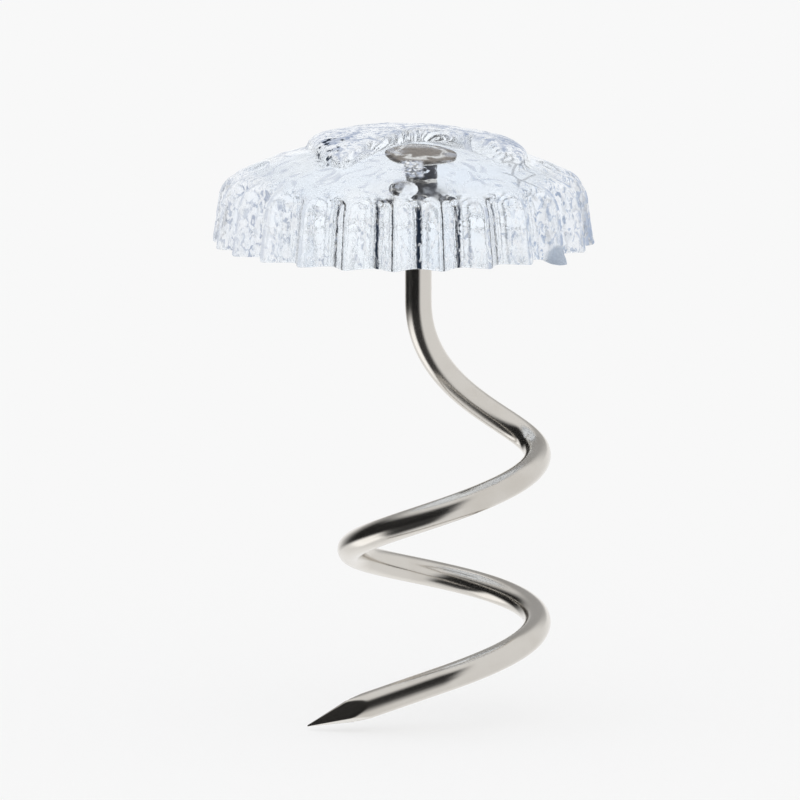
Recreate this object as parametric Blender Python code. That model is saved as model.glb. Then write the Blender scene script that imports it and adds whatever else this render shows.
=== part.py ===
# Upholstery twist pin: a clear moulded head on a headed wire that winds into a corkscrew.
# Metres, +Z up. The origin is on the wire's axis, in the plane of the head's flat underside,
# and the front of the pin looks to -Y.
import math

import bmesh
import bpy
import numpy as np

# Moulded head
HEAD_DIAMETER = 0.0100  # over the ridges between the flutes, at the underside
HEAD_OFFSET = 0.00039  # the head's middle lies this far to -X of the wire
SKIRT_HEIGHT = 0.00100  # underside to the foot of the shoulder
SKIRT_FLARE = 0.00015  # radius gained from the shoulder down to the underside
SHOULDER_WIDTH = 0.00065  # how far the rounded shoulder draws in
SHOULDER_HEIGHT = 0.00075
EDGE_SLOPE = math.radians(25.5)  # fall of the dome where it runs into the shoulder
RIM_ROUND = 0.00008

# Flutes cut into the skirt, each running out into the shoulder
FLUTE_COUNT = 24
FLUTE_DEPTH = 0.00052
FLUTE_RISE = 0.00075  # how far the flutes run up into the shoulder
FLUTE_END = 0.00085  # height over which they run out
FIRST_RIDGE = math.radians(-93.8)

# Flower of fan-shaped petals raised on the dome round the wire's axis, and a bead outside each petal
PETAL_COUNT = 4
PETAL_REACH = 0.00285  # wire's axis to a petal's straight outer edge
PETAL_SPREAD = math.radians(84)  # between a petal's two sides
PETAL_HEIGHT = 0.00030
EYE_DIAMETER = 0.00180  # round middle that joins the petals
FIRST_PETAL = math.radians(98)
FIRST_BEAD = math.radians(90)
BEAD_CIRCLE = 0.00390  # radius of the ring of beads about the head's middle
BEAD_DIAMETER = 0.00070
BEAD_HEIGHT = 0.00012

# Wire: flat nail head, straight shank, lead-out, coil and sharpened run-out
WIRE_DIAMETER = 0.00070
NAIL_DIAMETER = 0.00170
NAIL_THICKNESS = 0.00018
NAIL_HEIGHT = 0.00085  # underside of the moulded head to underside of the nail head
SHANK_LENGTH = 0.00160  # straight length below the moulded head
COIL_RADIUS = 0.00245  # to the middle of the wire
COIL_OFFSET = 0.00068  # the coil's axis lies this far to +X of the shank
COIL_DROP = 0.00569  # underside of the moulded head to the coil's first crossing of +X
COIL_PITCH = 0.00445
COIL_START = math.radians(10)  # turned on from +X, right-handed going down
COIL_END = math.radians(450)
COIL_SLANT_X = 0.061  # rise of each turn's plane towards +X
COIL_SLANT_Y = -0.070  # and towards +Y
SHANK_PULL = 0.0085  # length of the bend's tangent at the shank
COIL_PULL = 0.0075  # and at the coil
RUN_OUT = 0.00379  # straight end beyond the coil, point included
POINT_LENGTH = 0.00175
TIP_DIAMETER = 0.00003

# Clearance of the moulding round the wire that it grips
GRIP_GAP = 0.00003

HEAD_COLUMNS = FLUTE_COUNT * 6
DOME_ROWS = 26
SHOULDER_ROWS = 8
SKIRT_ROWS = 3
WIRE_SIDES = 16
LEAD_STEPS = 16
COIL_STEPS = 40
POCKET_STEPS = 32
SHARP_ANGLE = math.radians(40)


def clear_scene():
    for old in list(bpy.data.objects):
        bpy.data.objects.remove(old)


def finish(name, color, roughness, metallic, transmission):
    made = bpy.data.materials.new(name)
    made.use_nodes = True
    shader = made.node_tree.nodes["Principled BSDF"]
    shader.inputs["Base Color"].default_value = (*color, 1)
    shader.inputs["Roughness"].default_value = roughness
    shader.inputs["Metallic"].default_value = metallic
    shader.inputs["Transmission Weight"].default_value = transmission
    return made


def lofted(rings):
    """A closed body through rings of as many points each, with a flat face over either end."""
    form = bmesh.new()
    rows = [[form.verts.new(point) for point in ring] for ring in rings]
    for upper, lower in zip(rows, rows[1:]):
        for k in range(len(upper)):
            form.faces.new((upper[k - 1], lower[k - 1], lower[k], upper[k]))
    form.faces.new(rows[0])
    form.faces.new(reversed(rows[-1]))
    bmesh.ops.recalc_face_normals(form, faces=form.faces)
    return form


def add_object(name, form, made_of, parent):
    mesh = bpy.data.meshes.new(name)
    form.to_mesh(mesh)
    form.free()
    mesh.shade_smooth()
    mesh.set_sharp_from_angle(angle=SHARP_ANGLE)
    mesh.materials.append(made_of)
    thing = bpy.data.objects.new(name, mesh)
    bpy.context.scene.collection.objects.link(thing)
    thing.parent = parent
    return thing


def turned_cutter(name, profile, steps, parent):
    """A cutter turned about Z from points (radius, height) that run from its top down its outer side."""
    mesh = bpy.data.meshes.new(name)
    points = [(radius, 0, height) for radius, height in profile]
    mesh.from_pydata(points, [(k, k + 1) for k in range(len(points) - 1)], [])
    cutter = bpy.data.objects.new(name, mesh)
    bpy.context.scene.collection.objects.link(cutter)
    cutter.parent = parent
    cutter.hide_render = True
    cutter.display_type = "WIRE"
    screw = cutter.modifiers.new("turn", "SCREW")
    screw.steps = steps
    screw.render_steps = steps
    screw.use_merge_vertices = True
    screw.merge_threshold = 0.000001
    return cutter


# Moulded head

def head_profile():
    """(radius, height) of each row from the crown over the shoulder and down to the underside."""
    rim = HEAD_DIAMETER / 2
    foot = rim - SKIRT_FLARE
    middle = foot - SHOULDER_WIDTH
    start = math.atan(math.tan(EDGE_SLOPE) * SHOULDER_WIDTH / SHOULDER_HEIGHT)
    edge = middle + SHOULDER_WIDTH * math.sin(start)
    sphere = edge / math.sin(EDGE_SLOPE)
    level = SKIRT_HEIGHT + SHOULDER_HEIGHT * math.cos(start) - sphere * math.cos(EDGE_SLOPE)
    rows = []
    for k in range(1, DOME_ROWS + 1):
        radius = edge * k / DOME_ROWS
        rows.append((radius, level + math.sqrt(sphere**2 - radius**2)))
    for k in range(1, SHOULDER_ROWS + 1):
        turn = start + (math.pi / 2 - start) * k / SHOULDER_ROWS
        drop = SHOULDER_HEIGHT * math.cos(turn)
        rows.append((middle + SHOULDER_WIDTH * math.sin(turn), SKIRT_HEIGHT + drop))
    for k in range(1, SKIRT_ROWS + 1):
        share = k / SKIRT_ROWS
        height = SKIRT_HEIGHT + (RIM_ROUND - SKIRT_HEIGHT) * share
        rows.append((foot + SKIRT_FLARE * share, height))
    rows.append((rim - RIM_ROUND, 0))
    return rows


def flute_cut(angle, height):
    """How far the flutes draw the head in at this angle and height."""
    across = 2 * ((angle - FIRST_RIDGE) * FLUTE_COUNT / math.tau % 1) - 1
    into_end = 1 - (SKIRT_HEIGHT + FLUTE_RISE - height) / FLUTE_END
    into_end = min(1, max(0, into_end))
    return FLUTE_DEPTH * (1 - across**2) * (1 - into_end**2)**2


def mound(along, across):
    """Height, from 0 to 1, of a low mound whose edge is at 1 both along and across."""
    return max(0, 1 - along**2 - across**2)


def from_nearest(x, y, first):
    """Radius of a point, and its angle from the nearest of the petals' directions."""
    step = math.tau / PETAL_COUNT
    away = (math.atan2(y, x) - first + step / 2) % step - step / 2
    return math.hypot(x, y), away


def flower(x, y):
    """Height of the petals, each with a steep outer edge, and of the eye that they meet in."""
    radius, away = from_nearest(x, y, FIRST_PETAL)
    along = radius * math.cos(away) / PETAL_REACH
    across = math.tan(away) / math.tan(PETAL_SPREAD / 2)
    petal = max(0, 1 - along**6) * max(0, 1 - across**2)
    eye = max(0, 1 - (radius * 2 / EYE_DIAMETER)**2)
    return PETAL_HEIGHT * max(petal, eye)


def beads(x, y):
    """Height of the beads, one outside each petal, about the head's middle."""
    radius, away = from_nearest(x, y, FIRST_BEAD)
    along = (radius * math.cos(away) - BEAD_CIRCLE) * 2 / BEAD_DIAMETER
    across = radius * math.sin(away) * 2 / BEAD_DIAMETER
    return BEAD_HEIGHT * mound(along, across)


def head_ring(radius, height):
    """One row of the head: drawn in by the flutes, and raised by the ornament on the dome."""
    ring = []
    on_dome = height > SKIRT_HEIGHT + FLUTE_RISE
    for k in range(HEAD_COLUMNS):
        angle = FIRST_RIDGE + math.tau * k / HEAD_COLUMNS
        reach = radius - flute_cut(angle, height)
        x = reach * math.cos(angle)
        y = reach * math.sin(angle)
        raised = flower(x - HEAD_OFFSET, y) + beads(x, y) if on_dome else 0
        ring.append((x - HEAD_OFFSET, y, height + raised))
    return ring


def clear_head(parent):
    rows = head_profile()
    rings = [head_ring(radius, height) for radius, height in rows]
    inner = [(x / 2, y / 2, 0) for x, y, _ in rings[-1]]
    head = add_object("clear_head", lofted(rings + [inner]), CLEAR_PLASTIC, parent)
    pocket_radius = NAIL_DIAMETER / 2 + GRIP_GAP
    bore_radius = WIRE_DIAMETER / 2 + GRIP_GAP
    pocket_top = NAIL_HEIGHT + NAIL_THICKNESS + GRIP_GAP
    pocket_floor = NAIL_HEIGHT - GRIP_GAP
    profile = [
        (0, pocket_top),
        (pocket_radius, pocket_top),
        (pocket_radius, pocket_floor),
        (bore_radius, pocket_floor),
        (bore_radius, -WIRE_DIAMETER),
        (0, -WIRE_DIAMETER),
    ]
    cut = head.modifiers.new("wire_pocket", "BOOLEAN")
    cut.operation = "DIFFERENCE"
    cut.object = turned_cutter("wire_pocket", profile, POCKET_STEPS, parent)


# Twisted wire

def coil_path():
    """Middle of the coil: a right-handed helix, each turn's plane slanted a little."""
    turn = np.linspace(COIL_START, COIL_END, COIL_STEPS + 1)
    x = COIL_RADIUS * np.cos(turn)
    y = -COIL_RADIUS * np.sin(turn)
    slant = COIL_SLANT_X * (x - COIL_RADIUS) + COIL_SLANT_Y * y
    z = slant - COIL_DROP - COIL_PITCH * turn / math.tau
    return np.column_stack((x + COIL_OFFSET, y, z))


def coil_heading(turn):
    """Unit direction of the coil's middle line at this turn."""
    x = -COIL_RADIUS * math.sin(turn)
    y = -COIL_RADIUS * math.cos(turn)
    z = COIL_SLANT_X * x + COIL_SLANT_Y * y - COIL_PITCH / math.tau
    heading = np.array((x, y, z))
    return heading / np.linalg.norm(heading)


def lead_path(start, end, end_heading):
    """Cubic curve from the foot of the shank, heading down, to the start of the coil."""
    t = np.linspace(0, 1, LEAD_STEPS + 1)[:, None]
    down = np.array((0, 0, -SHANK_PULL))
    along = COIL_PULL * end_heading
    places = (2 * t**3 - 3 * t**2 + 1) * start + (3 * t**2 - 2 * t**3) * end
    return places + (t**3 - 2 * t**2 + t) * down + (t**3 - t**2) * along


def wire_path():
    """Points along the wire below its nail head, and the wire's radius at each."""
    coil = coil_path()
    shank = np.array(((0, 0, NAIL_HEIGHT), (0, 0, 0), (0, 0, -SHANK_LENGTH)))
    lead = lead_path(shank[-1], coil[0], coil_heading(COIL_START))
    lengths = (RUN_OUT - POINT_LENGTH, RUN_OUT)
    run_out = coil[-1] + np.outer(lengths, coil_heading(COIL_END))
    path = np.vstack((shank, lead[1:], coil[1:], run_out))
    radii = np.full(len(path), WIRE_DIAMETER / 2)
    radii[-1] = TIP_DIAMETER / 2
    return path, radii


def tube_rings(path, radii):
    """Rings square to the path, carried along it without twisting."""
    headings = np.gradient(path, axis=0)
    headings[:3] = (0, 0, -1)
    headings /= np.linalg.norm(headings, axis=1)[:, None]
    turns = math.tau * np.arange(WIRE_SIDES) / WIRE_SIDES
    side = np.array((1.0, 0, 0))
    rings = []
    for place, heading, radius in zip(path, headings, radii):
        side = side - heading * side.dot(heading)
        side /= np.linalg.norm(side)
        other = np.cross(heading, side)
        ring = place + radius * (np.outer(np.cos(turns), side) + np.outer(np.sin(turns), other))
        rings.append([tuple(point) for point in ring])
    return rings


def least_gap(path):
    """Least clear distance from the wire to itself, half a turn or more further along."""
    steps = np.linalg.norm(np.diff(path, axis=0), axis=1)
    along = np.concatenate(((0,), np.cumsum(steps)))
    apart = np.abs(along[:, None] - along) > math.pi * COIL_RADIUS
    distances = np.linalg.norm(path[:, None] - path, axis=2)
    return distances[apart].min() - WIRE_DIAMETER


def twist_wire(parent):
    path, radii = wire_path()
    nail_top = NAIL_HEIGHT + NAIL_THICKNESS
    nail_path = [(0, 0, nail_top), (0, 0, NAIL_HEIGHT)]
    nail_rings = tube_rings(np.array(nail_path), (NAIL_DIAMETER / 2,) * 2)
    add_object("twist_wire", lofted(nail_rings + tube_rings(path, radii)), NICKEL, parent)
    print(f"least gap of the wire to itself: {least_gap(path) * 1000:.2f} mm")


clear_scene()
CLEAR_PLASTIC = finish("clear_plastic", (0.95, 0.97, 0.98), 0.04, 0.0, 1.0)
NICKEL = finish("bright_nickel", (0.72, 0.69, 0.65), 0.12, 1.0, 0.0)
pin = bpy.data.objects.new("twist_pin", None)
bpy.context.scene.collection.objects.link(pin)
clear_head(pin)
twist_wire(pin)
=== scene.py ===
import math
from types import SimpleNamespace

import bpy
import numpy as np
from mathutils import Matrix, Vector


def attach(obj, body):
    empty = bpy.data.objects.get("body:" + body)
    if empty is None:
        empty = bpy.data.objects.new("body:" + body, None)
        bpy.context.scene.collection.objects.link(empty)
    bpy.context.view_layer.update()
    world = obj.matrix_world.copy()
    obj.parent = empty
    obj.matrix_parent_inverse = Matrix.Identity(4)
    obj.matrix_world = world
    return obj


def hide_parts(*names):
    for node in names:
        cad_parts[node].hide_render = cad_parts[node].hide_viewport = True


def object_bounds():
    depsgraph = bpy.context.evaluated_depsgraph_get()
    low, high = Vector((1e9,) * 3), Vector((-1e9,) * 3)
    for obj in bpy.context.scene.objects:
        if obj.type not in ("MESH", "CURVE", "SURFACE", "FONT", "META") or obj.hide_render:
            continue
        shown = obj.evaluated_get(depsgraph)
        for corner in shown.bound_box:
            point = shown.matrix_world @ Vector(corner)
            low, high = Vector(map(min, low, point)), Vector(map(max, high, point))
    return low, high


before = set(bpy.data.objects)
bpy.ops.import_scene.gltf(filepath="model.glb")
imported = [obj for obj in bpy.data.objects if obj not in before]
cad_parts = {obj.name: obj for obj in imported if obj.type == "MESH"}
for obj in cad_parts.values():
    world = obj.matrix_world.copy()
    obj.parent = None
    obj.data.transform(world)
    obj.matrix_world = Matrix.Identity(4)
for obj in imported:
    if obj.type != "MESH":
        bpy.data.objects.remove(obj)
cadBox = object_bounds()
mm = 0.001  # every size below is in millimetres
print("frame loaded:", sorted(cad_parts))


class Plug:
    # one output socket of a node tree; arithmetic on it adds Math nodes

    def __init__(self, tree, socket=None):
        self.tree = tree
        self.socket = socket

    def node(self, kind, settings=None, inputs=None, out=0):
        # any node: its settings first, then values or links for its sockets
        made = self.tree.nodes.new(kind)
        for name, value in (settings or {}).items():
            setattr(made, name, value)
        for name, value in (inputs or {}).items():
            if isinstance(value, Plug):
                self.tree.links.new(value.socket, made.inputs[name])
            else:
                made.inputs[name].default_value = value
        return Plug(self.tree, made.outputs[out] if len(made.outputs) else None)

    def also(self, name):
        # another output of the same node
        return Plug(self.tree, self.socket.node.outputs[name])

    def parts(self):
        # the three numbers of a vector
        first = self.node("ShaderNodeSeparateXYZ", None, {0: self})
        return first, first.also(1), first.also(2)

    def math(self, operation, *terms):
        return self.node("ShaderNodeMath", {"operation": operation}, dict(enumerate(terms)))

    def __add__(self, other):
        return self.math("ADD", self, other)

    def __radd__(self, other):
        return self.math("ADD", other, self)

    def __sub__(self, other):
        return self.math("SUBTRACT", self, other)

    def __rsub__(self, other):
        return self.math("SUBTRACT", other, self)

    def __mul__(self, other):
        return self.math("MULTIPLY", self, other)

    def __rmul__(self, other):
        return self.math("MULTIPLY", other, self)

    def __truediv__(self, other):
        return self.math("DIVIDE", self, other)

    def __neg__(self):
        return self.math("MULTIPLY", self, -1)

    def larger(self, other):
        return self.math("MAXIMUM", self, other)

    def ease(self, low, high):
        # 0 below low, 1 above high, smooth between
        sockets = {"Value": self, "From Min": low, "From Max": high}
        return self.node("ShaderNodeMapRange", {"interpolation_type": "SMOOTHSTEP"}, sockets)

    def within(self, low, high, softLow, softHigh):
        # 1 between low and high, fading over a soft edge of its own at either end
        return self.ease(low - softLow, low + softLow) * (1 - self.ease(high - softHigh, high + softHigh))

    def level(self, least, more):
        # least where this is 0, and more on top of it where this is 1
        return least + more * self

    def mix(self, first, second):
        # the first colour where this is 0, the second where it is 1
        return self.node("ShaderNodeMix", {"data_type": "RGBA"}, {0: self, 6: first, 7: second}, out=2)

    def noise(self, sockets):
        # noise over the places that this gives
        return self.node("ShaderNodeTexNoise", None, {"Vector": self, **sockets})


def newMaterial(name):
    made = bpy.data.materials.new(name)
    made.use_nodes = True
    made.node_tree.nodes.clear()
    return made, Plug(made.node_tree)


def ramp(value, start, run):
    # straight rise from 0 at the start to 1 a run further on
    return np.clip((value - start) / run, 0, 1)


def ripples(points, wavelength, count, seed):
    # sum of plane waves in random directions, all near one wavelength, scaled to about -1 to 1
    draw = np.random.default_rng(seed)
    heading = draw.normal(size=(count, 3))
    heading /= np.linalg.norm(heading, axis=1)[:, None]
    spread = draw.uniform(0.7, 1.4, (count, 1))  # shortest and longest, as shares of the wavelength
    heading *= 2 * np.pi / (wavelength * spread)
    phase = draw.uniform(0, 2 * np.pi, count)
    return np.sin(points @ heading.T + phase).sum(axis=-1) / math.sqrt(2 * count)


def gridPiece(name, grid, material):
    # closes a grid of rings (rows x columns x 3) into one skin with a middle point at either end
    rows, columns = grid.shape[:2]
    points = np.vstack((grid.reshape(-1, 3), grid[0].mean(axis=0), grid[-1].mean(axis=0)))
    row = np.arange(rows - 1)[:, None] * columns
    near = np.arange(columns)
    far = (near + 1) % columns
    quads = np.stack((row + near, row + columns + near, row + columns + far, row + far), axis=-1)
    last = (rows - 1) * columns
    start = np.column_stack((np.full(columns, rows * columns), near, far))
    end = np.column_stack((np.full(columns, rows * columns + 1), last + far, last + near))
    mesh = bpy.data.meshes.new(name)
    faces = quads.reshape(-1, 4).tolist() + start.tolist() + end.tolist()
    mesh.from_pydata((points * mm).tolist(), [], faces)
    mesh.shade_smooth()
    mesh.materials.append(material)
    piece = bpy.data.objects.new(name, mesh)
    bpy.context.scene.collection.objects.link(piece)
    print(name, len(mesh.polygons), "faces")
    return piece


def addAttribute(piece, name, grid):
    # three numbers for each point of a piece made by gridPiece
    values = grid.reshape(-1, 3)
    made = piece.data.attributes.new(name, "FLOAT_VECTOR", "POINT")
    made.data.foreach_set("vector", np.vstack((values, values[:1], values[-1:])).ravel())


# Moulded head; gateFloor, grainDome, grainWall, petalRim and outward are each a ramp's start and run
head = {
    "rim": 5.0, "offset": 0.39, "rimRound": 0.07,  # radius over the ridges, middle to -X of the wire
    "skirt": 1.00, "flare": 0.15, "sink": 0.09,  # height of the skirt, how far it leans out and hangs down
    "shoulderIn": 0.65, "shoulderUp": 0.75, "edgeSlope": 25.5, "domeFrom": 1.75,
    "flutes": 24, "fluteDepth": 0.52, "fluteRise": 0.85, "fluteEnd": 0.42, "fluteFull": 3.5,
    "firstRidge": -93.0, "ridgeRound": 0.55,
    "petalReach": 2.85, "petalUp": 0.29, "petalTurn": 8,
    "petalSquare": 3, "petalEdge": 18,  # powers: a higher one is squarer, or sharper at the edge
    "frontFrom": 0.35, "frontRight": 1.2,  # the front petal is let down, more softly to the right
    "frontRun": 0.22, "frontRunRight": 1.0, "frontLead": 0.4, "frontLeadRight": 0.5,
    "grooveFrom": 1.5, "grooveRun": 0.6, "grooveWide": 0.10, "grooveDeep": 0.6,
    "beads": 4, "beadCircle": 3.90, "beadRadius": 0.35, "beadUp": 0.08,
    "gateTurn": -33.6, "gateReach": 5.08, "gateUp": 0.36, "gateDown": 0.16, "gateWide": 0.28,
    "gateFoot": 4.5, "gateFloor": (4.0, 0.6), "gateMiddle": 4.85, "gateHalf": 0.4,
    "grainUp": 0.004, "grainLong": 0.18, "grainWaves": 48, "grainSeed": 3,
    "swellUp": 0.010, "swellLong": 0.9, "swellWaves": 24, "swellSeed": 5,
    "grainLeast": 0.1, "grainDome": (3.2, 1.2), "grainWall": (4.3, 0.2), "grainWallMore": 0.6,
    "grainPetal": 1.3, "petalAside": 1.3, "petalBack": -0.3, "petalFade": 0.4, "petalRim": (0.95, 0.1),
    "grainSpots": (  # strength, middle in x and y from the wire, half widths
        (1.6, -0.05, -3.6, 0.60, 0.40), (2.4, 2.69, -2.2, 0.45, 0.50), (0.9, -3.15, -1.9, 0.70, 0.70),
    ),
    "outward": (3.4, 1.2),  # the ripples turn from upwards to outwards over this radius
    "pole": 0.02, "crownTo": (2.1, 3.4), "crownRows": (22, 44, 18), "columns": 624,
    "shoulderRows": 24, "skirtRows": 28, "rimRows": 4, "floorRows": 10, "floorCrowd": 3,
}


def headProfile():
    # radius and height down the meridian: spherical cap, elliptic shoulder, leaning skirt, round rim, floor
    foot = head["rim"] - head["flare"]
    middle = foot - head["shoulderIn"]
    slope = math.radians(head["edgeSlope"])
    start = math.atan(math.tan(slope) * head["shoulderIn"] / head["shoulderUp"])
    edge = middle + head["shoulderIn"] * math.sin(start)
    ball = edge / math.sin(slope)
    level = head["skirt"] + head["shoulderUp"] * math.cos(start) - ball * math.cos(slope)
    bounds = (head["pole"],) + head["crownTo"] + (edge,)
    spans = zip(bounds, bounds[1:], head["crownRows"])
    bands = [np.linspace(low, high, rows + 1)[:-1] for low, high, rows in spans]
    capRadius = np.concatenate(bands + [(edge,)])
    cap = (capRadius, level + np.sqrt(ball**2 - capRadius**2))
    turn = np.linspace(start, np.pi / 2, head["shoulderRows"] + 1)[1:]
    shoulder = (middle + head["shoulderIn"] * np.sin(turn),
                head["skirt"] + head["shoulderUp"] * np.cos(turn))
    share = np.linspace(0, 1, head["skirtRows"] + 1)[1:]
    skirt = (foot + head["flare"] * share, head["skirt"] + (head["rimRound"] - head["skirt"]) * share)
    turn = np.linspace(0, np.pi / 2, head["rimRows"] + 1)[1:]
    rim = (head["rim"] - head["rimRound"] * (1 - np.cos(turn)), head["rimRound"] * (1 - np.sin(turn)))
    share = np.linspace(0, 1, head["floorRows"] + 1)[1:]**head["floorCrowd"]
    floorRadius = (head["rim"] - head["rimRound"]) * (1 - share) + head["pole"] * share
    return np.concatenate((cap, shoulder, skirt, rim, (floorRadius, 0 * share)), axis=1)


def fluteCut(turn, height):
    # parabola across each flute, rounded to a hyperbola at the ridges, running out into the shoulder
    across = 2 * ((turn - math.radians(head["firstRidge"])) * head["flutes"] / (2 * np.pi) % 1) - 1
    soft = head["ridgeRound"]
    hollow = (np.hypot(1 - across**2, soft) - soft) / (math.hypot(1, soft) - soft)
    top = head["skirt"] + head["fluteRise"]
    intoEnd = ramp(height, top - head["fluteEnd"], head["fluteEnd"])
    return head["fluteDepth"] * hollow * (1 - intoEnd**2)**2


def squareShare(across, along):
    # root of the sum of both places' powers, as a share of the petals' reach: 1 round a rounded square
    power = head["petalSquare"]
    return (np.abs(across)**power + np.abs(along)**power)**(1 / power) / head["petalReach"]


def flower(x, y):
    # rounded square, flat on top with round edges, grooved to each corner and let down over the front petal
    turn = math.radians(head["petalTurn"])
    across = x * math.cos(turn) + y * math.sin(turn)
    ahead = x * math.sin(turn) - y * math.cos(turn)
    plateau = np.sqrt(np.clip(1 - squareShare(across, ahead)**head["petalEdge"], 0, 1))
    aside = (np.abs(ahead) - np.abs(across)) / math.sqrt(2) / head["grooveWide"]
    begun = ramp(np.hypot(x, y), head["grooveFrom"], head["grooveRun"])
    groove = head["grooveDeep"] * begun * np.exp(-aside**2)
    rightward = ramp(across, 0, head["frontRight"])
    run = head["frontRun"] + head["frontRunRight"] * rightward
    lead = head["frontLead"] + head["frontLeadRight"] * rightward
    inFront = np.clip((ahead - np.hypot(across, head["frontFrom"])) / run + lead, 0, 1)
    inFront = inFront**2 * (3 - 2 * inFront)
    return (1 - inFront) * plateau * (1 - groove)


def beads(x, y):
    # half a ball outside each petal, by the radius and the angle from the nearest petal's direction
    step = 2 * np.pi / head["beads"]
    away = (np.arctan2(y, x) - np.pi / 2 + step / 2) % step - step / 2
    radius = np.hypot(x, y)
    gap = np.hypot(radius * np.cos(away) - head["beadCircle"], radius * np.sin(away)) / head["beadRadius"]
    return head["beadUp"] * np.sqrt(np.clip(1 - gap**2, 0, 1))


def gateNub(turn, reach, height):
    # stub of the moulding gate at the rim: half an ellipsoid out of the wall and another below the floor
    aside = (turn - math.radians(head["gateTurn"]) + np.pi) % (2 * np.pi) - np.pi
    across = (aside * head["rim"] / head["gateWide"])**2
    out = np.sqrt(np.clip(1 - across - (height / head["gateUp"])**2, 0, 1))
    stub = head["gateFoot"] + (head["gateReach"] - head["gateFoot"]) * out
    push = np.clip(stub - reach, 0, None) * (out > 0)
    rimRow = len(reach) - head["floorRows"] - 1
    push[rimRow + 1:] = push[rimRow] * ramp(reach[rimRow + 1:], *head["gateFloor"])
    reach = reach + push
    along = ((reach - head["gateMiddle"]) / head["gateHalf"])**2
    below = np.sqrt(np.clip(1 - across - along, 0, 1))
    return reach, head["gateDown"] * below * (1 - ramp(height, 0, head["gateUp"]))


def grainStrength(reach, x, y):
    # low on the dome and rising to the wall, or higher on the side and rear petals and in round spots
    plain = np.maximum(ramp(reach, *head["grainDome"]), head["grainLeast"])
    plain = plain + head["grainWallMore"] * ramp(reach, *head["grainWall"])
    aside = np.maximum(np.abs(x) - head["petalAside"], y - head["petalBack"])
    onPetal = ramp(aside, 0, head["petalFade"]) * (1 - ramp(squareShare(x, y), *head["petalRim"]))
    strong = head["grainPetal"] * onPetal
    for strength, middleX, middleY, wide, deep in head["grainSpots"]:
        strong = strong + strength * np.exp(-((x - middleX) / wide)**2 - ((y - middleY) / deep)**2)
    return np.maximum(plain, strong)


def headSurface():
    # meridian turned about the head's middle, drawn in by the flutes, raised by the ornament and rippled
    radius, height = (line[:, None] for line in headProfile())
    turn = np.arange(head["columns"]) / head["columns"] * 2 * np.pi
    reach = radius - ramp(radius, 0, head["fluteFull"]) * fluteCut(turn, height)
    reach, nub = gateNub(turn, reach, height)
    x = reach * np.cos(turn)
    y = reach * np.sin(turn)
    z = height - nub - head["sink"] * (1 - ramp(height, 0, head["skirt"]))
    onDome = height > head["domeFrom"]
    raised = np.where(onDome, flower(x - head["offset"], y), 0)
    z = z + head["petalUp"] * raised + np.where(onDome, beads(x, y), 0)
    place = np.stack((x, y, z), axis=-1)
    grain = ripples(place, head["grainLong"], head["grainWaves"], head["grainSeed"])
    grain = grain * head["grainUp"] * grainStrength(reach, x - head["offset"], y)
    swell = ripples(place, head["swellLong"], head["swellWaves"], head["swellSeed"]) * head["swellUp"]
    onFloor = np.arange(len(radius))[:, None] >= len(radius) - head["floorRows"]
    lift = np.where(onFloor, 0, grain + swell)
    outward = ramp(reach, *head["outward"])
    x = x + lift * outward * np.cos(turn)
    y = y + lift * outward * np.sin(turn)
    z = z + lift * (1 - outward)
    return np.stack((x - head["offset"], y, z), axis=-1), raised


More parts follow.
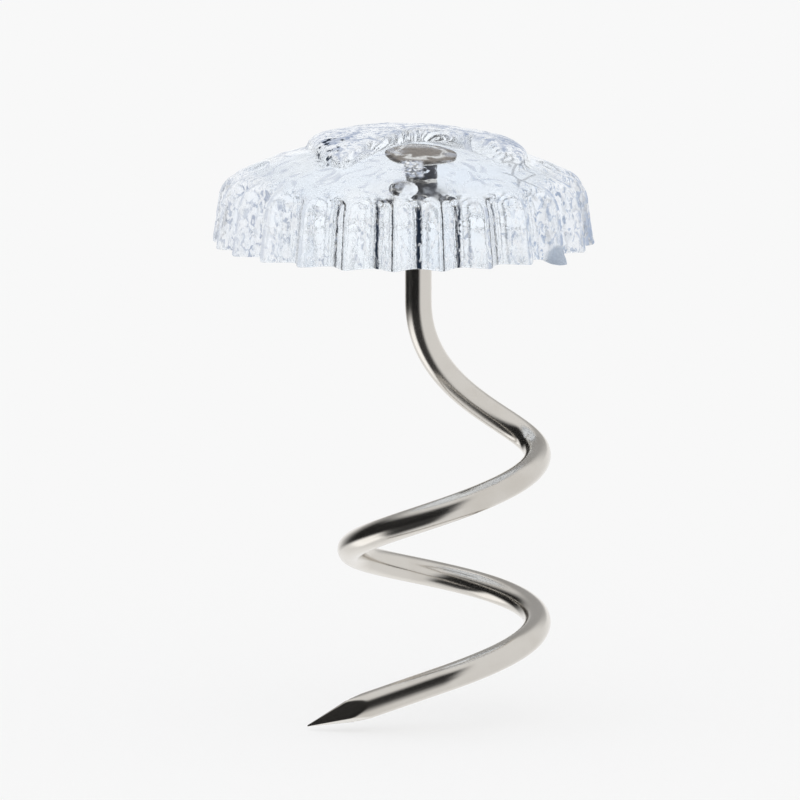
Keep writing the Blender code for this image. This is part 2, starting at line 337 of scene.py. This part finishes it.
# Clear plastic. A pair named Cut or From is where a pattern or a place starts and is full, one named To
# where it fades and is gone, measured from the head's middle. Other pairs: least amount, what is added.
plastic = {
    "tint": (0.91, 0.955, 1.0, 1), "deeper": (0.82, 0.90, 1.0, 1), "deeperCut": (0.42, 0.68),
    "ior": 1.50, "smooth": 0.0, "dull": 0.06, "dullCut": (0.45, 0.75),
    "floorDull": 0.25, "floorTo": (0.01, 0.05), "grainBump": 0.5, "grainStep": 0.02,
    "haze": (0.94, 0.96, 0.99, 1), "hazeDim": (0.42, 0.47, 0.58, 1), "hazeBlue": (0.35, 0.43, 0.58, 1),
    "petalGrey": (0.34, 0.40, 0.53, 1), "gateGrey": (0.42, 0.48, 0.57, 1),
    # colour of the painted dark refractions
    "paintedRefractionColor": (0.02, 0.03, 0.05, 1),
    # patterns, as the noise node's sockets, per metre; those of the wall are drawn out upwards
    "flow": {"Scale": 420, "Detail": 3}, "fine": {"Scale": 5200, "Detail": 3, "Roughness": 0.6},
    "swirl": {"Scale": 1100, "Detail": 4, "Distortion": 2.5}, "swirlCut": (0.44, 0.66),
    "squiggle": {"Scale": 7600, "Detail": 1.5, "Distortion": 0.7}, "drawnUp": (1, 1, 0.55),
    "fleck": {"Scale": 8000, "Detail": 2, "Distortion": 1.0}, "fleckCut": (0.50, 0.61),
    # frost on the wall
    "wallFrom": (3.7, 4.2), "wallTo": (1.35, 1.95), "wallWave": 0.5, "wallDrop": 0.3,
    "endsFrom": (1.6, 4.4), "thin": 0.55, "thinCut": (0.52, 0.60),
    "thick": (0.62, 0.33), "thickCut": (0.45, 0.60),
    "panelFrom": (0.02, 0.14), "panelMore": 0.2, "panelMiddle": (0.25, 0.78, 0.1, 0.1),
    # painted refraction streaks down the ridges
    "paintedStreakTo": (0.04, 0.17), "paintedStreakCut": (0.40, 0.50), "paintedStreakHaze": 0.8,
    "paintedStreakRight": 0.9, "paintedStreakRightFrom": (1.6, 2.2), "paintedStreakLeft": 0.6, "paintedStreakLeftTo": (-2.4, -1.8),
    "fleckFrom": (0.05, 0.7), "fleckDim": (0.55, 0.55), "blueFrom": (1.4, 3.6),
    "edgeFrom": (4.55, 4.90), "edgeCut": (0.42, 0.55), "edgeDim": 0.9,
    # frost on the dome
    "raisedCut": (0.35, 0.95), "petalHaze": 0.25, "leftTo": (-1.2, 0.2), "rightFrom": (1.6, 2.6),
    "dapple": 0.35, "dappleCut": (0.45, 0.58), "swirlHaze": 0.58, "swirlDim": 0.8,
    "windowAcross": (0.0, 0.95, 0.25, 0.25), "windowTo": (-0.9, -0.3),
    "veil": (0.30, 0.65), "veilCut": (0.40, 0.56),
    "veilAcross": (-0.05, 0.50, 0.08, 0.06), "veilAlong": (-3.3, -2.3, 0.1, 0.1),
    # painted grey shade and painted dark refractions: soft ellipses by middle and half widths, lines by
    # middle and half width
    "ellipseTo": (0.35, 1.2), "rearShade": (0.70, 2.20, 0.60, 0.9), "rightShade": (2.70, 0.30, 0.45, 1.0),
    "shade": (0.35, 0.45), "shadeCut": (0.40, 0.60),
    "spots": (-1.90, -1.30, 0.45, 1.1), "spotsCut": (0.53, 0.60),
    "facets": (3.05, -2.0, 0.6, 1.0), "facetScale": 1500, "facetTo": (0.02, 0.09), "facetDark": 0.6,
    "lines": ((-0.68, 0.04), (0.41, 0.07), (1.45, 0.04)), "lineWave": 0.12, "lineSoft": 0.03,
    "linesTo": (-1.0, 0.0), "lineCut": (0.33, 0.45),
    "gateOut": 4.90, "gateLow": 0.10, "gateTo": (0.30, 0.46), "gateHaze": 0.85,
}


def plasticFields(start):
    # what the layers of the plastic share: the place in millimetres, the wall, the flutes and the patterns
    place = start.node("ShaderNodeTexCoord", out="Object")
    x, y, z = (part / mm for part in place.parts())
    x = x + head["offset"]
    upward = start.node("ShaderNodeMapping", None, {"Vector": place, "Scale": plastic["drawnUp"]})
    raised = start.node("ShaderNodeAttribute", {"attribute_name": "raised"}, out="Fac")
    flow = place.noise(plastic["flow"])
    ends = start.math("ABSOLUTE", x).ease(*plastic["endsFrom"])
    top = z + plastic["wallWave"] * (flow - 0.5) - plastic["wallDrop"] * ends
    out = start.math("SQRT", x * x + y * y)
    turn = start.math("ARCTAN2", y, x) - math.radians(head["firstRidge"])
    lobe = start.math("FRACT", turn * (head["flutes"] / (2 * math.pi)))
    return SimpleNamespace(
        start=start, place=place, x=x, y=y, z=z, ends=ends, flow=flow,
        wall=out.ease(*plastic["wallFrom"]) * (1 - top.ease(*plastic["wallTo"])),
        hollow=1 - start.math("ABSOLUTE", 2 * lobe - 1),  # 0 on a ridge, 1 in the middle of a flute
        raised=raised.ease(*plastic["raisedCut"]),
        fine=place.noise(plastic["fine"]),
        swirl=place.noise(plastic["swirl"]).ease(*plastic["swirlCut"]),
        squiggle=upward.noise(plastic["squiggle"]),
        fleck=upward.noise(plastic["fleck"]).ease(*plastic["fleckCut"]),
    )


def ellipse(at, middleX, middleY, wide, deep):
    # soft ellipse seen from above, 1 inside and 0 outside
    across = (at.x - middleX) / wide
    along = (at.y - middleY) / deep
    return 1 - (across * across + along * along).ease(*plastic["ellipseTo"])


def wallHaze(at):
    # squiggles on the front panels between the ridges, and a thicker frost at both ends
    thin = plastic["thin"] * at.squiggle.ease(*plastic["thinCut"])
    thick = at.squiggle.ease(*plastic["thickCut"]).level(*plastic["thick"])
    panel = at.hollow.within(*plastic["panelMiddle"]).level(1, plastic["panelMore"])
    panel = panel * at.hollow.ease(*plastic["panelFrom"])
    return (thin * panel * (1 - at.ends) + thick * at.ends) * at.wall


def paintedRidgeStreaks(at):
    # broken streaks of painted refraction down the ridges, to the right and left of the front, in the dim
    # haze colour
    paintedStreak = (1 - at.hollow.ease(*plastic["paintedStreakTo"])) * at.squiggle.ease(*plastic["paintedStreakCut"]) * at.wall
    right = plastic["paintedStreakRight"] * at.x.ease(*plastic["paintedStreakRightFrom"])
    left = plastic["paintedStreakLeft"] * (1 - at.x.ease(*plastic["paintedStreakLeftTo"]))
    return paintedStreak * (right + left)


def domeHaze(at):
    # dappled petals, more so to the left and right, and swirls, with a clear window over the nail head
    sides = 1 - at.x.ease(*plastic["leftTo"]) + at.x.ease(*plastic["rightFrom"])
    dapple = plastic["dapple"] * at.squiggle.ease(*plastic["dappleCut"])
    petals = plastic["petalHaze"] * (1 + sides) + dapple
    window = at.x.within(*plastic["windowAcross"]) * (1 - at.y.ease(*plastic["windowTo"]))
    return (at.raised * petals + plastic["swirlHaze"] * at.swirl) * (1 - window) * (1 - at.wall)


def frontVeil(at):
    # small pale patch low on the front of the dome
    patch = at.x.within(*plastic["veilAcross"]) * at.y.within(*plastic["veilAlong"])
    return patch * at.squiggle.ease(*plastic["veilCut"]).level(*plastic["veil"])


def paintedPetalShade(at):
    # painted shade: grey on the rear petal and on the right one
    patches = ellipse(at, *plastic["rearShade"]).larger(ellipse(at, *plastic["rightShade"]))
    return patches * at.squiggle.ease(*plastic["shadeCut"]).level(*plastic["shade"])


def paintedDarkRefractions(at):
    # painted dark refractions: spots on the left petal, the edges of small facets to the right, wavy lines
    # down the front of the wall
    spots = ellipse(at, *plastic["spots"]) * at.fine.ease(*plastic["spotsCut"])
    cells = at.start.node("ShaderNodeTexVoronoi", {"feature": "DISTANCE_TO_EDGE"},
                          {"Vector": at.place, "Scale": plastic["facetScale"]})
    facets = ellipse(at, *plastic["facets"]) * (1 - cells.ease(*plastic["facetTo"]))
    paintedRefraction = spots.larger(plastic["facetDark"] * facets)
    front = (1 - at.y.ease(*plastic["linesTo"])) * at.wall * at.squiggle.ease(*plastic["lineCut"])
    wavy = at.x + plastic["lineWave"] * (at.squiggle - 0.5)
    for middle, half in plastic["lines"]:
        line = wavy.within(middle - half, middle + half, plastic["lineSoft"], plastic["lineSoft"])
        paintedRefraction = paintedRefraction.larger(line * front)
    return paintedRefraction


def gateFrost(at):
    # dull ball round the stub of the gate
    turn = math.radians(head["gateTurn"])
    x = at.x - plastic["gateOut"] * math.cos(turn)
    y = at.y - plastic["gateOut"] * math.sin(turn)
    z = at.z + plastic["gateLow"]
    return 1 - at.start.math("SQRT", x * x + y * y + z * z).ease(*plastic["gateTo"])


def hazeColor(at, paintedStreak, shade, paintedRefraction, gate):
    # pale, with dim flecks that turn bluer to the right and greyer on the petals, and the painted shade and
    # painted dark refractions on top
    fleck = at.fleck * at.hollow.ease(*plastic["fleckFrom"]).level(*plastic["fleckDim"])
    # the painted refraction streaks take the dim colour too
    fleck = fleck.larger(paintedStreak).larger(plastic["swirlDim"] * at.swirl * (1 - at.wall))
    edge = at.x.ease(*plastic["edgeFrom"]) * at.squiggle.ease(*plastic["edgeCut"])
    fleck = fleck.larger(plastic["edgeDim"] * edge)
    dim = at.x.ease(*plastic["blueFrom"]).mix(plastic["hazeDim"], plastic["hazeBlue"])
    dim = at.raised.mix(dim, plastic["petalGrey"])
    color = fleck.mix(plastic["haze"], dim)
    # painted grey shade on the rear and right petals
    color = shade.mix(color, plastic["petalGrey"])
    # painted dark refractions over the haze
    color = paintedRefraction.mix(color, plastic["paintedRefractionColor"])
    return gate.mix(color, plastic["gateGrey"])


def clearBody(at):
    # bluish glass, with a fine grain on the wall and a dull floor
    color = at.flow.ease(*plastic["deeperCut"]).mix(plastic["tint"], plastic["deeper"])
    grain = at.fine.ease(*plastic["dullCut"]) * at.wall
    onFloor = 1 - (at.z + head["sink"]).ease(*plastic["floorTo"])
    rough = grain.level(plastic["smooth"], plastic["dull"] - plastic["smooth"])
    bump = at.start.node("ShaderNodeBump", None, {
        "Strength": plastic["grainBump"], "Distance": plastic["grainStep"] * mm,
        "Height": at.fine * at.wall,
    })
    return at.start.node("ShaderNodeBsdfPrincipled", None, {
        "Base Color": color, "Roughness": rough + plastic["floorDull"] * onFloor, "IOR": plastic["ior"],
        "Transmission Weight": 1.0, "Normal": bump,
    })


def clearPlastic():
    # the clear body under a matt haze, which lies on its outside only
    made, start = newMaterial("clearPlastic")
    at = plasticFields(start)
    # painted refraction streaks down the ridges
    paintedStreak = paintedRidgeStreaks(at)
    # painted grey shade on two petals
    shade = paintedPetalShade(at)
    # painted dark refractions of the wire and dark surroundings
    paintedRefraction = paintedDarkRefractions(at)
    gate = gateFrost(at)
    haze = wallHaze(at).larger(plastic["paintedStreakHaze"] * paintedStreak) + domeHaze(at)
    haze = haze.larger(frontVeil(at)).larger(paintedRefraction).larger(shade).larger(plastic["gateHaze"] * gate)
    outside = 1 - start.node("ShaderNodeNewGeometry", out="Backfacing")
    matt = start.node("ShaderNodeBsdfPrincipled", None, {
        "Base Color": hazeColor(at, paintedStreak, shade, paintedRefraction, gate), "Roughness": 1.0, "Specular IOR Level": 0.0,
    })
    mixed = start.node("ShaderNodeMixShader", None, {0: haze * outside, 1: clearBody(at), 2: matt})
    start.node("ShaderNodeOutputMaterial", None, {"Surface": mixed})
    return made


# Twisted wire
wire = {
    "radius": 0.35, "nailRadius": 0.85, "nailThick": 0.24, "nailUp": 0.98,
    "nailEdge": 0.05, "nailDome": 0.11,
    "neck": 0.24, "neckFlare": 0.16, "neckFrom": 0.6,  # its length, its flare, the ring that it starts from
    "shank": 1.60, "coilRadius": 2.45, "coilOffset": 0.68, "coilDrop": 5.69, "pitch": 4.45,
    "coilStart": 10, "coilEnd": 450, "slantX": 0.061, "slantY": -0.070, "shankPull": 8.5, "coilPull": 7.5,
    "runOut": 3.79, "point": 1.75, "tip": 0.015, "flatTurn": 90, "pole": 0.03,
    "sides": 48, "crownSteps": 14, "bendSteps": 6, "neckSteps": 7,
    "shankSteps": 24, "leadSteps": 90, "coilSteps": 230, "endSteps": 60,
}


def coilHeading(turn):
    # unit tangent of the slanted helix
    x = -wire["coilRadius"] * np.sin(turn)
    y = -wire["coilRadius"] * np.cos(turn)
    z = wire["slantX"] * x + wire["slantY"] * y - wire["pitch"] / (2 * np.pi)
    heading = np.array((x, y, z))
    return heading / np.linalg.norm(heading)


def wirePath():
    # straight shank, cubic lead-out, right-handed slanted helix, straight run-out
    turn = np.radians(np.linspace(wire["coilStart"], wire["coilEnd"], wire["coilSteps"]))
    x = wire["coilRadius"] * np.cos(turn)
    y = -wire["coilRadius"] * np.sin(turn)
    slant = wire["slantX"] * (x - wire["coilRadius"]) + wire["slantY"] * y
    z = slant - wire["coilDrop"] - wire["pitch"] * turn / (2 * np.pi)
    coil = np.column_stack((x + wire["coilOffset"], y, z))
    foot = np.array((0, 0, -wire["shank"]))
    t = np.linspace(0, 1, wire["leadSteps"])[:, None]
    lead = (2 * t**3 - 3 * t**2 + 1) * foot + (3 * t**2 - 2 * t**3) * coil[0]
    lead += (t**3 - 2 * t**2 + t) * np.array((0, 0, -wire["shankPull"]))
    lead += (t**3 - t**2) * wire["coilPull"] * coilHeading(turn[0])
    down = np.linspace(wire["nailUp"] - wire["neck"], -wire["shank"], wire["shankSteps"])[:-1]
    shank = np.column_stack((0 * down, 0 * down, down))
    left = np.linspace(wire["runOut"], 0, wire["endSteps"] + 1)[1:]
    end = coil[-1] + np.outer(wire["runOut"] - left, coilHeading(turn[-1]))
    path = np.vstack((shank, lead[:-1], coil, end))
    toTip = np.concatenate((np.full(len(path) - len(left), wire["runOut"]), left))
    return path, toTip


def carried(path):
    # two directions square to the path, carried along it without twist
    heading = np.gradient(path, axis=0)
    heading /= np.linalg.norm(heading, axis=1)[:, None]
    side = np.zeros_like(path)
    now = np.array((1.0, 0, 0))
    for k, ahead in enumerate(heading):
        now = now - ahead * now.dot(ahead)
        now /= np.linalg.norm(now)
        side[k] = now
    return side, np.cross(heading, side)


def nailProfile():
    # radius and height down the nail head: low parabolic dome, two quarter rounds at its edge, flared neck
    under, edge = wire["nailUp"], wire["nailEdge"]
    flat = wire["nailRadius"] - edge
    top = under + wire["nailThick"]
    crown = np.linspace(wire["pole"], 1, wire["crownSteps"])[:-1]
    bend = np.linspace(0, np.pi / 2, wire["bendSteps"])
    neck = np.linspace(0, 1, wire["neckSteps"])[:-1]
    radius = (flat * crown, flat + edge * np.sin(bend), flat + edge * np.cos(bend), (wire["neckFrom"],),
              wire["radius"] + wire["neckFlare"] * (1 - neck)**2)
    height = (top - wire["nailDome"] * crown**2, top - wire["nailDome"] - edge + edge * np.cos(bend),
              under + edge - edge * np.sin(bend), (under,), under - wire["neck"] * neck)
    return np.concatenate(radius), np.concatenate(height)


def wireSurface():
    # nail head turned about the shank, then a circle carried along the path, with four flats to the point
    path, toTip = wirePath()
    side, other = carried(path)
    around = np.arange(wire["sides"]) / wire["sides"] * 2 * np.pi
    flat = around - math.radians(wire["flatTurn"])
    corner = np.maximum(np.abs(np.cos(flat)), np.abs(np.sin(flat)))
    ground = (wire["radius"] * toTip / wire["point"] + wire["tip"])[:, None] / corner
    reach = np.minimum(wire["radius"], ground)
    ring = np.cos(around)[:, None] * side[:, None] + np.sin(around)[:, None] * other[:, None]
    tube = path[:, None] + reach[:, :, None] * ring
    radius, height = (line[:, None] for line in nailProfile())
    turned = np.broadcast_arrays(radius * np.cos(around), -radius * np.sin(around), height)
    return np.concatenate((np.stack(turned, axis=-1), tube))


def wireRun(rings):
    # around the wire as a circle in x and y, and along it, in millimetres, in z
    steps = np.linalg.norm(np.diff(rings.mean(axis=1), axis=0), axis=1)
    along = np.concatenate(((0,), np.cumsum(steps)))[:, None] + np.zeros(wire["sides"])
    around = np.arange(wire["sides"]) / wire["sides"] * 2 * np.pi + np.zeros(along.shape)
    return np.stack((np.cos(around), np.sin(around), along), axis=-1)


# Nickel, with its pairs named as the plastic's are
nickel = {
    "bright": (0.72, 0.69, 0.645, 1), "worn": (0.66, 0.625, 0.575, 1),
    # painted reflection on the nail head: a dark brown face, a near-black rim and a light ring
    "paintedNailFace": (0.23, 0.195, 0.165, 1), "paintedNailRim": (0.06, 0.048, 0.040, 1),
    # the nail head's painted light ring, then painted shade and painted glints for the shank inside the
    # head
    "paintedNailRing": (0.88, 0.85, 0.81, 1), "buriedShade": (0.015, 0.018, 0.030, 1), "glint": (0.96, 0.97, 1.0, 1),
    "polish": 0.17, "drawn": 0.26, "matt": 0.04,  # roughness: least, most, and added on the nail head
    "lines": {"Scale": 1, "Detail": 4, "Roughness": 0.7}, "linesCut": (0.35, 0.8),
    "lineStretch": (9, 9, 0.35), "lineBump": 0.04, "lineStep": 0.01,
    "cloud": {"Scale": 900, "Detail": 3}, "cloudCut": (0.4, 0.75),
    "glints": {"Scale": 2800, "Detail": 2, "Distortion": 1.5}, "glintsCut": (0.55, 0.62),
    "glintsFrom": (0.15, 0.30), "glintsTo": (0.52, 0.62),
    "ringWobble": {"Scale": 1500, "Detail": 3, "Distortion": 2.0}, "ringWobbleCut": (0.42, 0.68),
    "ringWobbleShift": 0.20, "paintedNailRingAt": (0.42, 0.52, 0.07, 0.07), "paintedNailRimFrom": (0.66, 0.78),
    "shankTo": (0.40, 0.50), "buriedShadeFrom": (-0.02, 0.03), "nailFrom": (1.05, 1.09),
}


def brightNickel():
    # cloudy nickel with drawn lines, painted shade and painted glints on the shank inside the head, a
    # painted reflection on the nail head
    made, start = newMaterial("brightNickel")
    run = start.node("ShaderNodeAttribute", {"attribute_name": "run"}, out="Vector")
    lines = start.node("ShaderNodeMapping", None, {"Vector": run, "Scale": nickel["lineStretch"]})
    lines = lines.noise(nickel["lines"])
    place = start.node("ShaderNodeTexCoord", out="Object")
    x, y, z = (part / mm for part in place.parts())
    radius = start.math("SQRT", x * x + y * y)
    # painted glints and painted shade on the shank inside the head
    glint = z.ease(*nickel["glintsFrom"]) * (1 - z.ease(*nickel["glintsTo"]))
    glint = glint * place.noise(nickel["glints"]).ease(*nickel["glintsCut"])
    buriedShade = (1 - radius.ease(*nickel["shankTo"])) * z.ease(*nickel["buriedShadeFrom"])
    nail = z.ease(*nickel["nailFrom"])
    # painted reflection on the nail head: dark face, light ring wobbled by noise, near-black rim
    wobble = place.noise(nickel["ringWobble"]).ease(*nickel["ringWobbleCut"])
    ring = radius + nickel["ringWobbleShift"] * (wobble - 0.5)
    paintedNailFace = ring.within(*nickel["paintedNailRingAt"]).mix(nickel["paintedNailFace"], nickel["paintedNailRing"])
    paintedNailFace = ring.ease(*nickel["paintedNailRimFrom"]).mix(paintedNailFace, nickel["paintedNailRim"])
    color = place.noise(nickel["cloud"]).ease(*nickel["cloudCut"]).mix(nickel["bright"], nickel["worn"])
    color = buriedShade.mix(color, glint.mix(nickel["buriedShade"], nickel["glint"]))
    color = nail.mix(color, paintedNailFace)
    rough = lines.ease(*nickel["linesCut"]).level(nickel["polish"], nickel["drawn"] - nickel["polish"])
    bump = start.node("ShaderNodeBump", None, {
        "Strength": nickel["lineBump"], "Distance": nickel["lineStep"] * mm, "Height": lines,
    })
    shader = start.node("ShaderNodeBsdfPrincipled", None, {
        "Base Color": color, "Roughness": rough + nickel["matt"] * nail, "Metallic": 1.0, "Normal": bump,
    })
    start.node("ShaderNodeOutputMaterial", None, {"Surface": shader})
    return made


# Camera: long lens, a little above the pin
camera = {
    "tilt": 9.2, "distance": 500, "sensor": 36, "nearest": 1,
    "pixelsPerMm": 38.2, "wireColumn": 418.3, "undersideRow": 240, "frame": 800,
}


def addCamera():
    lens = bpy.data.cameras.new("camera")
    lens.sensor_width = camera["sensor"]
    lens.lens = camera["sensor"] * camera["distance"] * camera["pixelsPerMm"] / camera["frame"]
    lens.clip_start = camera["nearest"] * mm
    eye = bpy.data.objects.new("camera", lens)
    bpy.context.scene.collection.objects.link(eye)
    tilt = math.radians(camera["tilt"])
    half = camera["frame"] / 2
    ahead = np.array((0, math.cos(tilt), -math.sin(tilt)))
    up = np.array((0, math.sin(tilt), math.cos(tilt)))
    middle = np.array(((half - camera["wireColumn"]) / camera["pixelsPerMm"], 0, 0))
    middle = middle + up * (camera["undersideRow"] - half) / camera["pixelsPerMm"]
    eye.location = (middle - ahead * camera["distance"]) * mm
    eye.rotation_euler = (math.pi / 2 - tilt, 0, 0)
    bpy.context.scene.camera = eye


# Studio: white room to the camera, with the dark and bright sides of a table-top set in gloss and glass
studio = {
    "backdrop": 0.939, "plain": 1.0, "room": 0.86, "behind": 1.0, "behindDim": 0.6,
    "dark": 0.014, "darkLow": 0.045, "white": 1.35,
    "glassDark": (0.010, 0.012, 0.016, 1), "glassWhite": (1.07, 1.07, 1.07, 1),
    # sides in degrees, around and up: from, to and the softness of both ends
    "darkSide": ((-142, 10, 24, 13), (-18, 42, 6, 13)),
    "darkLowSide": ((-66, 10, 8, 13), (-66, -5, 14, 12)),
    "whiteSide": ((-119, -72, 7, 6), (-56, -23, 5, 5)),
    "glassSide": ((-110, 10, 10, 13), (-18, 42, 6, 13)),
    "behindFrom": (120, 165), "behindDimUp": (16, 62, 6, 8),
}


def studioWorld():
    world = bpy.data.worlds.new("studio")
    bpy.context.scene.world = world
    world.use_nodes = True
    world.node_tree.nodes.clear()
    start = Plug(world.node_tree)
    x, y, z = start.node("ShaderNodeTexCoord", out="Generated").parts()
    side = start.math("ARCTAN2", x, -y) * (180 / math.pi)  # 0 is the camera's side, 90 its right
    rise = start.math("ARCSINE", z) * (180 / math.pi)

    def inSide(name):
        around, up = studio[name + "Side"]
        return side.within(*around) * rise.within(*up)

    back = start.math("ABSOLUTE", side).ease(*studio["behindFrom"])
    level = back.level(studio["room"], studio["behind"] - studio["room"])
    level = level * (1 - studio["behindDim"] * back * rise.within(*studio["behindDimUp"]))
    for name in ("darkLow", "dark", "white"):
        inside = inSide(name)
        level = level * (1 - inside) + studio[name] * inside
    through = inSide("glass").mix(studio["glassWhite"], studio["glassDark"])
    toCamera = start.node("ShaderNodeLightPath")
    gloss = toCamera.also("Is Glossy Ray")
    glass = toCamera.also("Is Transmission Ray")
    grey = level * gloss + studio["plain"] * (1 - gloss)
    grey = grey * (1 - toCamera) + studio["backdrop"] * toCamera
    light = start.node("ShaderNodeBackground", None, {"Color": glass.mix(grey, through), "Strength": 1.0})
    start.node("ShaderNodeOutputWorld", None, {"Surface": light})


# Floor
floor = {"half": 1500, "gap": 0.1, "color": (0.939, 0.939, 0.939, 1), "glow": 0.65}


def addFloor():
    # one flat square a hair under the point
    made, start = newMaterial("paleFloor")
    toCamera = start.node("ShaderNodeLightPath")
    matt = start.node("ShaderNodeBsdfDiffuse", None, {"Color": floor["color"]})
    glow = start.node("ShaderNodeEmission", None, {"Color": floor["color"], "Strength": 1.0})
    mixed = start.node("ShaderNodeMixShader", None, {0: toCamera * floor["glow"], 1: matt, 2: glow})
    start.node("ShaderNodeOutputMaterial", None, {"Surface": mixed})
    mesh = bpy.data.meshes.new("floor")
    half = floor["half"] * mm
    height = cadBox[0][2] - floor["gap"] * mm
    corners = [(-half, -half, height), (half, -half, height), (half, half, height), (-half, half, height)]
    mesh.from_pydata(corners, [], [(0, 1, 2, 3)])
    mesh.materials.append(made)
    piece = bpy.data.objects.new("floor", mesh)
    bpy.context.scene.collection.objects.link(piece)
    piece.visible_glossy = False
    piece.visible_transmission = False


addCamera()
studioWorld()
addFloor()
print("camera, light and floor set")

headGrid, raised = headSurface()
clearHead = gridPiece("mouldedHead", headGrid, clearPlastic())
addAttribute(clearHead, "raised", np.stack((raised, raised, raised), axis=-1))
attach(clearHead, "root")
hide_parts("clear_head")

wireGrid = wireSurface()
twistWire = gridPiece("twistedWire", wireGrid, brightNickel())
addAttribute(twistWire, "run", wireRun(wireGrid))
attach(twistWire, "root")
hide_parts("twist_wire")
print("pieces made")

bpy.context.scene.view_settings.view_transform = "Standard"
